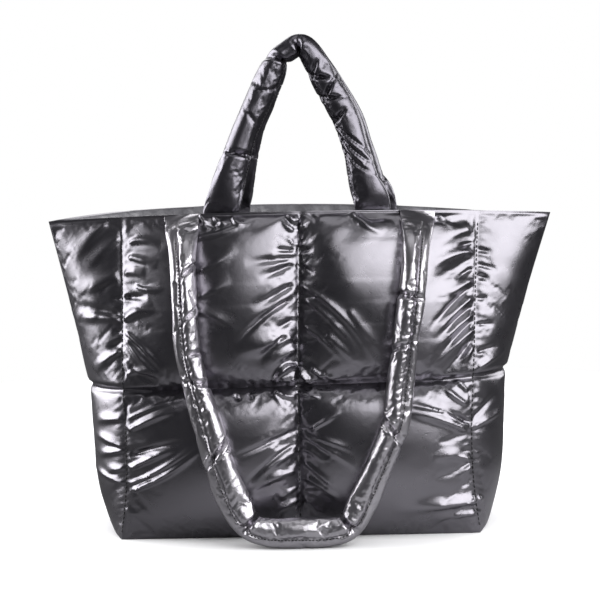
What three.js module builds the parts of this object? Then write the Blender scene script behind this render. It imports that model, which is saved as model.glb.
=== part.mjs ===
// A quilted puffer tote of metallic nylon, standing on its base with its short handles up and its long straps
// hanging down the front and the back. Millimetres, +X to the right, +Y to the back, +Z up, origin under the
// middle of the base.
import * as THREE from "three";

// Driving dimensions
const RIM_AT_SIDES = 296; // height of the mouth at the side seams
const RIM_AT_MIDDLE = 305; // and half way between them
const WALL = 3; // panel thickness where it is stitched flat
const BASE_THICKNESS = 4;
const SEAM_GAP = 0.4; // between two pieces that are sewn together
const HEM = 0.035; // flat band under the mouth, as a share of the height
const WAIST = 0.473; // level quilting line, as a share of the height
const CORNER = 0.7; // corner quilting line, as a share of the way from the middle to the side seam
const PUFF = { panel: 20, wing: 5 }; // how far a stuffed cell stands out of its stitched outline
const FULLNESS = 0.55; // 1 is a slack parabola, 0.5 a tight round pillow
const FOLDED_WIDTH = 38; // handle or strap where it is sewn flat into the mouth
const ROPE = 28; // the same piece where it is stuffed round

// Level sections of one panel, from the base to the mouth. up: share of the height. tip: half width at the
// side seam. corner: half width at the corner quilting line. depth: how far that line stands before the side
// seams. bow: how far the middle stands before that line. round: 2 where the side is a round wall, 1 where it
// is folded into a sharp wing. lap: width of the side seam's allowance.
const SECTIONS = [
  { up: 0.0, tip: 184, corner: 169, depth: 67, bow: 0, round: 2.0, lap: 3 },
  { up: 0.16, tip: 190, corner: 163, depth: 70, bow: 6, round: 2.0, lap: 3 },
  { up: 0.36, tip: 196, corner: 162, depth: 67, bow: 10, round: 1.8, lap: 4 },
  { up: 0.473, tip: 200, corner: 164, depth: 62, bow: 12, round: 1.7, lap: 4 },
  { up: 0.75, tip: 220, corner: 166, depth: 44, bow: 22, round: 1.35, lap: 8 },
  { up: 1.0, tip: 240, corner: 169, depth: 22, bow: 28, round: 1.15, lap: 14 },
];

// Gathers that a quilting thread draws up beside it. way: the line runs up the panel or along it. at: where it
// lies. pitch: from fold to fold. reach: where a fold is highest. height: of a fold. lean: how far a fold runs
// along the line for each millimetre that it runs off it. start: phase in turns.
const GATHERS = [
  { way: "up", at: -CORNER, pitch: 31, reach: 15, height: 2.2, lean: 0.5, start: 0.1 },
  { way: "up", at: 0, pitch: 27, reach: 13, height: 2.6, lean: 0.7, start: 0.4 },
  { way: "up", at: CORNER, pitch: 29, reach: 16, height: 2.4, lean: 0.8, start: 0.7 },
  { way: "along", at: WAIST, pitch: 42, reach: 13, height: 2.0, lean: 0.4, start: 0.2 },
];

// The front handle from its left end to its right end: its middle line, and its width and thickness. It is
// sewn inside the mouth, stuffed above it, and creased where it bends over at the top. yaw: degrees that its
// flat end turns to lie along the curved mouth.
const HANDLE = [
  { x: -75, y: -37, z: 288, width: FOLDED_WIDTH, thick: 6, yaw: -8 },
  { x: -74.5, y: -37, z: 305, width: FOLDED_WIDTH, thick: 7, yaw: -8 },
  { x: -71, y: -36, z: 318, width: 33, thick: 20, yaw: -5 },
  { x: -65, y: -32, z: 338, width: 29, thick: 27, yaw: 0 },
  { x: -52, y: -26, z: 375, width: ROPE, thick: ROPE, yaw: 0 },
  { x: -34, y: -19, z: 426, width: ROPE, thick: ROPE, yaw: 0 },
  { x: -24, y: -16.5, z: 446, width: 23, thick: 29, yaw: 0 },
  { x: -13, y: -15.5, z: 455, width: 27, thick: ROPE, yaw: 0 },
  { x: -2.5, y: -15.5, z: 460, width: 21, thick: 29, yaw: 0 },
  { x: 10, y: -15.5, z: 453, width: 27, thick: ROPE, yaw: 0 },
  { x: 29, y: -18, z: 425, width: ROPE, thick: ROPE, yaw: 0 },
  { x: 47, y: -25, z: 386, width: ROPE, thick: ROPE, yaw: 0 },
  { x: 60, y: -31, z: 345, width: 29, thick: 27, yaw: 0 },
  { x: 66, y: -36, z: 319, width: 33, thick: 20, yaw: 5 },
  { x: 68, y: -37.4, z: 305, width: FOLDED_WIDTH, thick: 7, yaw: 8 },
  { x: 69, y: -37.4, z: 288, width: FOLDED_WIDTH, thick: 6, yaw: 8 },
];

// The front strap from its left end to its right end. It is sewn inside the mouth beside the handle, folds over
// the mouth, hangs down the panel and lies on the floor before it. tilt: 0 where its face looks forward, 90
// where it looks up, 180 where it looks into the bag.
const STRAP = [
  { x: -114, y: -31.2, z: 288, width: FOLDED_WIDTH, thick: 4, tilt: 180, yaw: -12 },
  { x: -114, y: -30.8, z: 303.5, width: FOLDED_WIDTH, thick: 4, tilt: 180, yaw: -12 },
  { x: -114, y: -37, z: 310.8, width: FOLDED_WIDTH, thick: 4, tilt: 90, yaw: -12 },
  { x: -114, y: -44.8, z: 302, width: FOLDED_WIDTH, thick: 4, tilt: 10, yaw: -12 },
  { x: -112, y: -60, z: 288, width: 35, thick: 11, tilt: 20, yaw: -8 },
  { x: -110, y: -75, z: 270, width: 30, thick: 22, tilt: 20, yaw: -4 },
  { x: -107, y: -88, z: 245, width: 27, thick: 26, tilt: 10, yaw: 0 },
  { x: -106, y: -96, z: 215, width: 26, thick: 26, tilt: 0, yaw: 0 },
  { x: -104, y: -99, z: 182, width: 26, thick: 26, tilt: 0, yaw: 0 },
  { x: -97, y: -102, z: 145, width: 26, thick: 26, tilt: 0, yaw: 0 },
  { x: -87, y: -107, z: 110, width: ROPE, thick: 26, tilt: 0, yaw: 0 },
  { x: -76.5, y: -110, z: 75, width: 30, thick: 26, tilt: 0, yaw: 0 },
  { x: -62, y: -112, z: 42, width: 31, thick: 26, tilt: 0, yaw: 0 },
  { x: -48, y: -113, z: 21, width: 27, thick: ROPE, tilt: 0, yaw: 0 },
  { x: -30, y: -114, z: 14.9, width: ROPE, thick: 27, tilt: 0, yaw: 0 },
  { x: 0, y: -115, z: 14.7, width: ROPE, thick: 27, tilt: 0, yaw: 0 },
  { x: 28, y: -114, z: 14.9, width: ROPE, thick: 27, tilt: 0, yaw: 0 },
  { x: 44, y: -113, z: 21, width: 25, thick: ROPE, tilt: 0, yaw: 0 },
  { x: 57, y: -112, z: 42, width: ROPE, thick: 26, tilt: 0, yaw: 0 },
  { x: 73, y: -110, z: 75, width: ROPE, thick: 26, tilt: 0, yaw: 0 },
  { x: 88, y: -107, z: 112, width: 26, thick: 27, tilt: 0, yaw: 0 },
  { x: 93, y: -102, z: 145, width: ROPE, thick: 26, tilt: 0, yaw: 0 },
  { x: 97, y: -99, z: 182, width: ROPE, thick: 26, tilt: 0, yaw: 0 },
  { x: 101, y: -96, z: 215, width: ROPE, thick: 26, tilt: 0, yaw: 0 },
  { x: 105, y: -88, z: 245, width: ROPE, thick: 26, tilt: 10, yaw: 0 },
  { x: 108, y: -75, z: 270, width: 30, thick: 22, tilt: 20, yaw: 4 },
  { x: 110, y: -60, z: 288, width: 35, thick: 11, tilt: 20, yaw: 8 },
  { x: 111, y: -45.2, z: 302, width: FOLDED_WIDTH, thick: 4, tilt: 10, yaw: 12 },
  { x: 111, y: -37.5, z: 310.8, width: FOLDED_WIDTH, thick: 4, tilt: 90, yaw: 12 },
  { x: 111, y: -31.3, z: 303.5, width: FOLDED_WIDTH, thick: 4, tilt: 180, yaw: 12 },
  { x: 111, y: -31.7, z: 288, width: FOLDED_WIDTH, thick: 4, tilt: 180, yaw: 12 },
];

// Mesh density: spaces across a wing and a cell, up each row of cells, and over the smooth inside.
const SPACES = { wing: 6, cell: 10, lower: 20, upper: 21, lining: 8, liningRow: 6 };
const ROPE_SIDES = 10;
const STATIONS_PER_ROW = 2; // rings of a rope for each row of its table

// A smooth curve through one column of a table, read by the table's key column.
function column(table, key, name) {
  const at = table.map((row, i) => (key ? row[key] : i));
  const values = table.map((row) => row[name]);
  const curve = new THREE.CubicInterpolant(at, values, 1);
  return (where) => curve.evaluate(where)[0];
}

const section = Object.fromEntries(
  ["tip", "corner", "depth", "bow", "round", "lap"].map((name) => [name, column(SECTIONS, "up", name)]),
);

// A point of the front panel's stitched surface before stuffing. across: -1 at the left side seam, 0 in the
// middle, 1 at the right side seam. up: 0 at the base, 1 at the mouth. wall: 0 on the outside, WALL on the inside.
function stitched(across, up, wall) {
  const side = Math.sign(across);
  const share = Math.abs(across);
  const corner = section.corner(up) - wall;
  const depth = section.depth(up) - wall;
  const rim = RIM_AT_SIDES + (RIM_AT_MIDDLE - RIM_AT_SIDES) * (1 - across ** 2);
  const floor = wall > 0 ? BASE_THICKNESS : 0;
  const z = floor + (rim - floor) * up;
  if (share <= CORNER) {
    const s = share / CORNER;
    return new THREE.Vector3(side * corner * s, -depth - section.bow(up) * (1 - s * s), z);
  }
  const left = (1 - share) / (1 - CORNER); // of the way to the side seam
  const tip = section.tip(up) - (wall > 0 ? section.lap(up) : 0);
  const x = corner + (tip - corner) * (1 - left ** section.round(up));
  return new THREE.Vector3(side * x, -SEAM_GAP / 2 - (depth - SEAM_GAP / 2) * left, z);
}

// Outward direction of the stitched surface.
function outward(across, up) {
  const step = 1e-3;
  const mid = across < 0 ? across + step : across - step; // stays on one side of a seam
  const low = Math.min(Math.max(up, step), 1 - step);
  const along = stitched(mid + step / 2, low, 0).sub(stitched(mid - step / 2, low, 0));
  const rise = stitched(mid, low + step, 0).sub(stitched(mid, low - step, 0));
  return along.cross(rise).normalize();
}

// Height of a stuffed cell at shares a and b of its width and height: a pillow that is 0 on its stitched edges.
function pillow(a, b) {
  const edge = (share) => Math.max(0, 4 * share * (1 - share)) ** FULLNESS;
  return edge(a) * edge(b);
}

// Where a place lies in its cell: the share of the cell's width and height, and how high the cell stands.
function cellAt(across, up) {
  const share = Math.abs(across);
  const wing = share > CORNER;
  const a = wing ? (share - CORNER) / (1 - CORNER) : share / CORNER;
  const top = 1 - HEM;
  const b = up < WAIST ? up / WAIST : (Math.min(up, top) - WAIST) / (top - WAIST);
  return { a, b, height: wing ? PUFF.wing : PUFF.panel };
}

// The folds beside the quilting lines: each dies away off its line and slants along it.
function gathers(across, up) {
  const place = stitched(across, up, 0);
  const halfWidth = section.tip(up);
  let sum = 0;
  for (const g of GATHERS) {
    const off = g.way === "up" ? Math.abs(across - g.at) * halfWidth : Math.abs(up - g.at) * RIM_AT_MIDDLE;
    const along = g.way === "up" ? place.z : place.x;
    const fold = Math.cos(2 * Math.PI * ((along - g.lean * off) / g.pitch + g.start));
    sum += g.height * fold * (off / g.reach) * Math.exp(1 - off / g.reach);
  }
  return sum;
}

// A point of the panel's stuffed outside.
function stuffed(across, up) {
  const { a, b, height } = cellAt(across, up);
  const full = pillow(a, b);
  const lift = full * (height + gathers(across, up));
  const place = stitched(across, up, 0).addScaledVector(outward(across, up), lift);
  place.z = Math.max(place.z, 0);
  return place;
}

// Values from low to high, closer together at both ends, without the last one.
function eased(low, high, spaces) {
  return Array.from({ length: spaces }, (_, i) => {
    const share = (1 - Math.cos((Math.PI * i) / spaces)) / 2;
    return low + (high - low) * share;
  });
}

// One closed solid between an outer and an inner sheet, whose edges are zipped together. A sheet has the values
// across and up at which it is drawn, and a function from those to its points.
function sheetSolid(outer, inner) {
  const points = [];
  const index = [];
  const face = (a, b, c) => index.push(a, b, c);
  const number = (sheet) =>
    sheet.up.map((up) => sheet.across.map((across) => points.push(sheet.point(across, up)) - 1));
  const skin = (ids, inside) => {
    for (let i = 0; i + 1 < ids.length; i++) {
      for (let j = 0; j + 1 < ids[i].length; j++) {
        const [p, q, r, s] = [ids[i][j], ids[i][j + 1], ids[i + 1][j + 1], ids[i + 1][j]];
        const turned = inside ? [p, s, r, q] : [p, q, r, s];
        face(turned[0], turned[1], turned[2]);
        face(turned[0], turned[2], turned[3]);
      }
    }
  };
  const zip = (out, into) => {
    let j = 0;
    let k = 0;
    while (j + 1 < out.length || k + 1 < into.length) {
      const nextOut = out[j + 1]?.value ?? Infinity;
      const nextIn = into[k + 1]?.value ?? Infinity;
      if (nextOut <= nextIn) {
        face(out[j + 1].id, out[j].id, into[k].id);
        j++;
      } else {
        face(into[k].id, into[k + 1].id, out[j].id);
        k++;
      }
    }
  };
  const edges = (sheet, ids) => {
    const along = (row) => row.map((id, j) => ({ id, value: sheet.across[j] }));
    const rise = (j) => ids.map((row, i) => ({ id: row.at(j), value: sheet.up[i] }));
    const back = (edge) => edge.reverse().map(({ id, value }) => ({ id, value: -value }));
    return [along(ids[0]), rise(-1), back(along(ids.at(-1))), back(rise(0))];
  };
  const out = number(outer);
  const into = number(inner);
  skin(out, false);
  skin(into, true);
  const innerEdges = edges(inner, into);
  edges(outer, out).forEach((edge, i) => zip(edge, innerEdges[i]));
  return closedGeometry(points, index);
}

function closedGeometry(points, index) {
  const geometry = new THREE.BufferGeometry().setFromPoints(points);
  geometry.setIndex(index);
  geometry.computeVertexNormals();
  return geometry;
}

// The front panel: two wings and two cells wide, two cells high, smooth inside.
function panelGeometry() {
  const outer = {
    across: [
      ...eased(-1, -CORNER, SPACES.wing),
      ...eased(-CORNER, 0, SPACES.cell),
      ...eased(0, CORNER, SPACES.cell),
      ...eased(CORNER, 1, SPACES.wing),
      1,
    ],
    up: [...eased(0, WAIST, SPACES.lower), ...eased(WAIST, 1 - HEM, SPACES.upper), 1 - HEM, 1],
    point: stuffed,
  };
  const inner = {
    across: [
      ...eased(-1, -CORNER, SPACES.wing),
      ...eased(-CORNER, CORNER, SPACES.lining),
      ...eased(CORNER, 1, SPACES.wing),
      1,
    ],
    up: [...eased(0, WAIST, SPACES.liningRow), ...eased(WAIST, 1, SPACES.liningRow), 1],
    point: (across, up) => stitched(across, up, WALL),
  };
  return sheetSolid(outer, inner);
}

// The base: a flat plate with the panels' lower outline, whose edge is mitred to theirs. It is drawn across the
// bag and from the front edge, 0, to the back edge, 1.
function baseGeometry() {
  const across = [...eased(-1, -CORNER, SPACES.wing), -CORNER, ...eased(CORNER, 1, SPACES.wing), 1];
  const inset = { x: 1 - SEAM_GAP / section.corner(0), y: 1 - SEAM_GAP / section.depth(0) };
  const face = (wall) => ({
    across,
    up: [0, 1],
    point: (share, back) => {
      const p = stitched(share, 0, wall);
      return new THREE.Vector3(p.x * inset.x, p.y * inset.y * (1 - 2 * back), p.z);
    },
  });
  return sheetSolid(face(WALL), face(0));
}

// A stuffed rope or flat band through the rows of a table, as rings of points.
function ropeGeometry(table) {
  const spine = new THREE.CatmullRomCurve3(table.map((row) => new THREE.Vector3(row.x, row.y, row.z)));
  const size = (name) => column(table.map((row) => ({ tilt: 0, ...row })), null, name);
  const [width, thick, tilt, yaw] = ["width", "thick", "tilt", "yaw"].map(size);
  const last = table.length - 1;
  const stations = last * STATIONS_PER_ROW;
  const up = new THREE.Vector3(0, 0, 1);
  const points = [];
  for (let i = 0; i <= stations; i++) {
    const where = i / STATIONS_PER_ROW;
    const middle = spine.getPoint(where / last);
    const ahead = spine.getTangent(where / last);
    const lean = THREE.MathUtils.degToRad(tilt(where));
    const face = new THREE.Vector3(0, -Math.cos(lean), Math.sin(lean));
    face.applyAxisAngle(up, THREE.MathUtils.degToRad(yaw(where)));
    const side = ahead.clone().cross(face).normalize();
    const out = side.clone().cross(ahead).normalize();
    for (let k = 0; k < ROPE_SIDES; k++) {
      const turn = (2 * Math.PI * k) / ROPE_SIDES;
      const p = middle.clone().addScaledVector(side, (Math.cos(turn) * width(where)) / 2);
      points.push(p.addScaledVector(out, (Math.sin(turn) * thick(where)) / 2));
    }
  }
  const ends = [spine.getPoint(0), spine.getPoint(1)].map((p) => points.push(p) - 1);
  const index = [];
  for (let k = 0; k < ROPE_SIDES; k++) {
    const next = (k + 1) % ROPE_SIDES;
    for (let i = 0; i < stations; i++) {
      const [low, high] = [i * ROPE_SIDES, (i + 1) * ROPE_SIDES];
      index.push(low + k, high + next, low + next, low + k, high + k, high + next);
    }
    index.push(ends[0], k, next, ends[1], stations * ROPE_SIDES + next, stations * ROPE_SIDES + k);
  }
  return closedGeometry(points, index);
}

// Pewter metallic-coated nylon, as every piece of the bag is cut from it.
function pewterNylon() {
  return new THREE.MeshStandardMaterial({ color: 0x75727a, metalness: 0.9, roughness: 0.34 });
}

const tote = new THREE.Group();

// Adds a piece, and its twin on the back of the bag half a turn round.
function addPair(name, geometry) {
  for (const [place, turn] of [["front", 0], ["back", Math.PI]]) {
    const piece = new THREE.Mesh(geometry, pewterNylon());
    piece.name = `${place}_${name}`;
    piece.rotation.z = turn;
    tote.add(piece);
  }
}

const base = new THREE.Mesh(baseGeometry(), pewterNylon());
base.name = "base_panel";
tote.add(base);
addPair("panel", panelGeometry());
addPair("handle", ropeGeometry(HANDLE));
addPair("strap", ropeGeometry(STRAP));

export default tote;
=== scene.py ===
"""A quilted puffer tote of pewter metallic nylon, standing on a pale floor with its short handles up and its
long straps hanging to the floor. Every piece is worked out in millimetres and put into its mesh in metres."""

import bpy
import numpy as np
from mathutils import Euler, Matrix, Vector


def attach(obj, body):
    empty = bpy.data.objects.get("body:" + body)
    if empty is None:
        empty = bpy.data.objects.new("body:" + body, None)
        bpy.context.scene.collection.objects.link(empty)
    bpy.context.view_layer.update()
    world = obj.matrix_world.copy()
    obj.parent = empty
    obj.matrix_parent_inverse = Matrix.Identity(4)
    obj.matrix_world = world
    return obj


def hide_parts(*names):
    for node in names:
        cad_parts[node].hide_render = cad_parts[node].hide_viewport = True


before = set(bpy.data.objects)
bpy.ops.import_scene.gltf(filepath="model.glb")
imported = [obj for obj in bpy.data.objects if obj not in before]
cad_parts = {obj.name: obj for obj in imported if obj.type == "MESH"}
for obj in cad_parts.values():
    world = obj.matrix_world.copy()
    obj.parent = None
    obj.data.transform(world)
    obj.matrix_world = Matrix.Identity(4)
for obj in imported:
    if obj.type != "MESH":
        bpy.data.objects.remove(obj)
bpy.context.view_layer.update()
scene = bpy.context.scene

# The camera stands two metres before the bag, a little lower than the handles' tops, and is rolled about
# one degree, so that the bag's right side stands a little higher in the frame.
MM = 0.001
FRAME_PIXELS = 600
FOCAL_PIXELS = 2062
SENSOR = 36
EYE = (3.5, -1968.0, 444.0)
LOOK_DOWN = 6.61
ROLL = 1.1

camera_data = bpy.data.cameras.new("camera")
camera_data.sensor_width = SENSOR
camera_data.lens = SENSOR * FOCAL_PIXELS / FRAME_PIXELS
camera = bpy.data.objects.new("camera", camera_data)
camera.location = Vector(EYE) * MM
look = Euler((np.radians(90 - LOOK_DOWN), 0, 0)).to_matrix() @ Matrix.Rotation(np.radians(-ROLL), 3, "Z")
camera.rotation_euler = look.to_euler()
scene.collection.objects.link(camera)
scene.camera = camera

# The front and back panels: thin metallic nylon over wadding, quilted by two corner lines, a middle line
# and a level waist line into stuffed cells, gathered along every thread, and sewn together at the side
# seams. Sizes are in millimetres. The hem and the waist are shares of the height, and the corner line of
# the width.
RIM_AT_SIDES = 296
RIM_AT_MIDDLE = 305
WALL = 3
BASE_THICKNESS = 4
SEAM_GAP = 0.02
FLOOR_CLEARANCE = 0.2
HEM = 0.008
WAIST = 0.473
CORNER = 0.7
# Level sections of the panel: their share of the height, half width at the side seam and at the corner
# line, depth at the corner line, bow of the face, power of the wing's curve, and what the inner wall
# leaves free at the side seam.
SECTION = {
    "up": [0.0, 0.16, 0.36, 0.473, 0.75, 1.0],
    "tip": [178, 190, 196, 200, 220, 240],
    "corner": [169, 163, 162, 164, 166, 169],
    "depth": [67, 70, 67, 62, 44, 22],
    "bow": [0, 6, 10, 12, 22, 28],
    "round": [2.0, 2.0, 1.8, 1.7, 1.35, 1.15],
    "lap": [3, 3, 4, 4, 8, 14],
}
# Spaces of the grid across a wing and a cell, up the lower and upper cells, and in the hem.
SPACES = {"wing": 26, "cell": 60, "lower": 52, "upper": 56, "hem": 2}
# Stuffing: height of a cell on the face and on a wing, powers of its arches across and up, and a power
# below 1 that brings the crest of a face cell nearer to the middle line.
PUFF_PANEL = 17
PUFF_WING = 6
FULLNESS = (1.0, 0.52)
PEAK = 0.78


def through(at, values, where):
    """A smooth curve through the values: between two of them a Hermite cubic, whose slope at each is the
    slope between its neighbours."""
    at, values = np.asarray(at, float), np.asarray(values, float)
    slope = np.gradient(values, at, axis=0)
    low = np.clip(np.searchsorted(at, where, side="right") - 1, 0, len(at) - 2)
    span = at[low + 1] - at[low]
    t = (where - at[low]) / span
    if values.ndim > 1:
        t, span = t[..., None], span[..., None]
    start = (2 * t**3 - 3 * t**2 + 1) * values[low] + (t**3 - 2 * t**2 + t) * span * slope[low]
    end = (3 * t**2 - 2 * t**3) * values[low + 1] + (t**3 - t**2) * span * slope[low + 1]
    return start + end


def rim_height(across):
    """Height of the rim: a parabola, highest in the middle."""
    return RIM_AT_SIDES + (RIM_AT_MIDDLE - RIM_AT_SIDES) * (1 - across**2)


def stitched(across, up, wall=0):
    """The front panel before stuffing. Across runs from -1 at the left side seam to 1 at the right one,
    up from 0 at the base to 1 at the mouth. Between the corner lines a level section is a parabola, and
    from there to the side seam a power curve, round at the base and folded sharp at the mouth."""
    size = {name: through(SECTION["up"], SECTION[name], up) for name in SECTION if name != "up"}
    share = np.abs(across)
    corner, depth = size["corner"] - wall, size["depth"] - wall
    tip = size["tip"] - (size["lap"] if wall else 0)
    floor = BASE_THICKNESS if wall else 0
    on_face = np.minimum(share / CORNER, 1)
    to_seam = np.clip((1 - share) / (1 - CORNER), 0, 1)
    face = share <= CORNER
    wing_x = corner + (tip - corner) * (1 - to_seam ** size["round"])
    wing_y = -SEAM_GAP / 2 - (depth - SEAM_GAP / 2) * to_seam
    x = np.where(face, corner * on_face, wing_x)
    y = np.where(face, -depth - size["bow"] * (1 - on_face**2), wing_y)
    return np.stack([np.sign(across) * x, y, floor + (rim_height(across) - floor) * up], -1)


def outward(across, up):
    """Unit normals of the stitched panel, from its slopes along and up, taken just inside each seam."""
    step = 1e-3
    mid = across - np.sign(across) * step
    low = np.clip(up, step, 1 - step)
    along = stitched(mid + step / 2, low) - stitched(mid - step / 2, low)
    rise = stitched(mid, low + step) - stitched(mid, low - step)
    normal = np.cross(along, rise)
    return normal / np.linalg.norm(normal, axis=-1, keepdims=True)


def pillow(a, b):
    """A stuffed cell's height at shares a and b of its width and height: the product of two arches, 0 on
    its edges and 1 in its middle, each raised to its fullness."""
    return np.clip(4 * a * (1 - a), 0, 1) ** FULLNESS[0] * np.clip(4 * b * (1 - b), 0, 1) ** FULLNESS[1]


def groove(off, depth, half):
    """A bell curve across a thread."""
    return depth * np.exp(-((off / half) ** 2))


# How unlike each other the gathers along a thread are: least and greatest share of the pitch for their
# place and width, and of the given value for the rest. Each gets wider by a quarter at its reach.
UNEVEN = {
    "place": (-0.3, 0.3),
    "width": (0.22, 0.36),
    "height": (0.5, 1.3),
    "reach": (0.7, 1.5),
    "lean": (0.6, 1.4),
}
WIDENING = 0.25


def ridges(along, off, rng, span, pitch, reach, height, lean):
    """Gathers beside a thread: ridges across it at uneven places along the span, each highest at its
    reach off the line, dying away beyond that and slanting along the line as it goes."""
    count = int((span[1] - span[0]) / pitch)
    start = np.linspace(*span, count) + rng.uniform(*UNEVEN["place"], count) * pitch
    width = pitch * rng.uniform(*UNEVEN["width"], count)
    size = height * rng.uniform(*UNEVEN["height"], count)
    far = reach * rng.uniform(*UNEVEN["reach"], count)
    slant = lean * rng.uniform(*UNEVEN["lean"], count)
    off = np.maximum(off, 0)[..., None]
    line = (along[..., None] - start + slant * off) / (width * (1 + WIDENING * off / far))
    return (size * np.exp(-(line**2)) * (off / far) * np.exp(1 - off / far)).sum(-1)


def gathers(along, off, rng, span, pitch, reach, height, lean, far_lean):
    """Ridges on both sides of a thread, which lean away from it."""
    near = ridges(along, -off, rng, span, pitch, reach, height, lean) * (off < 0)
    return near + ridges(along, off, rng, span, pitch, reach, height, far_lean) * (off > 0)


# A fold's width above and below the crest of a pleat and on both sides of a dent, its width where it
# starts and what it gains to its end, and the shares of its length over which it comes up and dies away.
PLEAT_SIDES = (1.4, 0.65)
DENT_SIDE = 0.9
START_WIDTH = 0.6
WIDTH_GAIN = 0.8
FADE_IN = 0.1
FADE_OUT = 0.5
FOLD_DEPTH = 1.45


def folds(x, z, table):
    """Single pleats and dents. Each starts at a seam and runs in a bow to its end, where it is wider and
    dies away. A pleat falls gently upwards and steeply downwards from its crest, as two halves of bell
    curves, and a dent is one bell curve."""
    height = np.zeros_like(x)
    for x0, z0, x1, z1, width, rise, bow in table:
        run = np.hypot(x1 - x0, z1 - z0)
        t = ((x - x0) * (x1 - x0) + (z - z0) * (z1 - z0)) / run**2
        above = ((z - z0) * (x1 - x0) - (x - x0) * (z1 - z0)) / run
        above = above * (1 if x1 >= x0 else -1) - bow * np.clip(4 * t * (1 - t), 0, 1)
        sides = np.where(above > 0, *PLEAT_SIDES) if rise > 0 else DENT_SIDE
        wide = width * sides * (START_WIDTH + WIDTH_GAIN * np.clip(t, 0, 1))
        fade = np.clip(t / FADE_IN, 0, 1) * np.clip((1 - t) / FADE_OUT, 0, 1)
        height += fade * groove(above, rise, wide)
    return FOLD_DEPTH * height


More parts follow.
